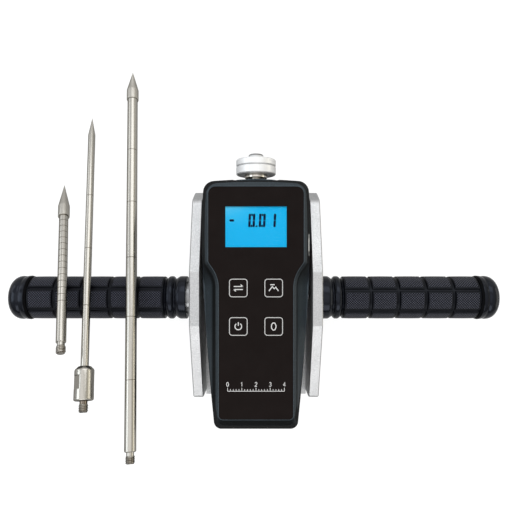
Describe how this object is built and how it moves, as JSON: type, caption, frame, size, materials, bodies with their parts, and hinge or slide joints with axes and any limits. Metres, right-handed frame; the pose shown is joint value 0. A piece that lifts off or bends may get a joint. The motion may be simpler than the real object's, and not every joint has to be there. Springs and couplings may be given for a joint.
{
  "type": "soil bearing capacity tester",
  "caption": "Digital hand penetrometer: a gauge case in an alloy frame with two rubber-gripped handles, a threaded sensor socket and loose screw-on steel probes.",
  "frame": {"origin": "rear face of the back plate, under the handle axis, midway between the cheeks", "axes": "+X along the handles to the right of the display, +Y towards the sensor end, +Z out of the display"},
  "size_m": [0.3321, 0.2649, 0.0773],
  "materials": {
    "frame_alloy": "bead blasted, satin",
    "bar_steel": "polished",
    "fastener_steel": "plain",
    "grip_rubber": "satin moulded rubber",
    "case_plastic": "fine moulded texture",
    "panel_film": "smooth film",
    "key_film": "smooth film with a pale outline",
    "window_clear": "clear",
    "display_blue": "backlit blue",
    "light_guide": "diffusing",
    "board_green": "solder mask",
    "switch_black": "plain",
    "port_metal": "satin",
    "disc_alloy": "bright satin anodised",
    "stud_nickel": "nickel plated",
    "cell_alloy": "machined",
    "battery_sleeve": "plain printed sleeve",
    "contact_brass": "plated",
    "probe_steel": "turned, nickel plated"
  },
  "bodies": {
    "gauge": {"left_cheek": "frame_alloy", "right_cheek": "frame_alloy", "back_plate": "frame_alloy", "left_bar": "bar_steel", "right_bar": "bar_steel", "handle_bolts": "fastener_steel", "frame_screws": "fastener_steel", "case_screws": "fastener_steel", "board_screws": "fastener_steel", "standoff_screws": "fastener_steel", "cell_bolt": "fastener_steel", "standoffs": "fastener_steel", "left_grip": "grip_rubber", "right_grip": "grip_rubber", "front_shell": "case_plastic", "rear_shell": "case_plastic", "top_collar": "case_plastic", "face_panel": "panel_film", "display_window": "window_clear", "lcd_glass": "display_blue", "backlight": "light_guide", "main_board": "board_green", "key_switches": "switch_black", "data_port": "port_metal", "sensor_stud": "stud_nickel", "load_cell": "cell_alloy", "cell_bracket": "cell_alloy", "batteries": "battery_sleeve", "battery_contacts": "contact_brass"},
    "unit_key": {"unit_key": "key_film"},
    "peak_key": {"peak_key": "key_film"},
    "power_key": {"power_key": "key_film"},
    "zero_key": {"zero_key": "key_film"},
    "lock_disc": {"lock_disc": "disc_alloy"},
    "probe_socket": {"probe_socket": "disc_alloy"},
    "battery_cover": {"battery_cover": "case_plastic"},
    "long_probe": {"long_rod": "probe_steel", "long_cone": "probe_steel"},
    "needle_probe": {"needle_rod": "probe_steel", "needle_adapter": "probe_steel"},
    "short_probe": {"short_rod": "probe_steel", "short_cone": "probe_steel"}
  },
  "joints": [
    {"name": "unit_key_press", "type": "slide", "parent": "gauge", "child": "unit_key", "axis": [0, 0, -1], "range_m": [0, 0.0005], "stiffness_N_per_m": 2000, "springref_m": -0.0002},
    {"name": "peak_key_press", "type": "slide", "parent": "gauge", "child": "peak_key", "axis": [0, 0, -1], "range_m": [0, 0.0005], "stiffness_N_per_m": 2000, "springref_m": -0.0002},
    {"name": "power_key_press", "type": "slide", "parent": "gauge", "child": "power_key", "axis": [0, 0, -1], "range_m": [0, 0.0005], "stiffness_N_per_m": 2000, "springref_m": -0.0002},
    {"name": "zero_key_press", "type": "slide", "parent": "gauge", "child": "zero_key", "axis": [0, 0, -1], "range_m": [0, 0.0005], "stiffness_N_per_m": 2000, "springref_m": -0.0002},
    {"name": "lock_disc_turn", "type": "hinge", "parent": "gauge", "child": "lock_disc", "pos_m": [0, 0.088, 0.04], "axis": [0, 1, 0], "continuous": true},
    {"name": "probe_socket_turn", "type": "hinge", "parent": "gauge", "child": "probe_socket", "pos_m": [0, 0.088, 0.04], "axis": [0, 1, 0], "continuous": true},
    {"name": "battery_cover_slide", "type": "slide", "parent": "gauge", "child": "battery_cover", "axis": [0, -1, 0], "range_m": [0, 0.06]},
    {"name": "long_probe_lift", "type": "slide", "parent": "gauge", "child": "long_probe", "axis": [0, 0, 1], "range_m": [0, 0.12]},
    {"name": "needle_probe_lift", "type": "slide", "parent": "gauge", "child": "needle_probe", "axis": [0, 0, 1], "range_m": [0, 0.12]},
    {"name": "short_probe_lift", "type": "slide", "parent": "gauge", "child": "short_probe", "axis": [0, 0, 1], "range_m": [0, 0.12]}
  ]
}
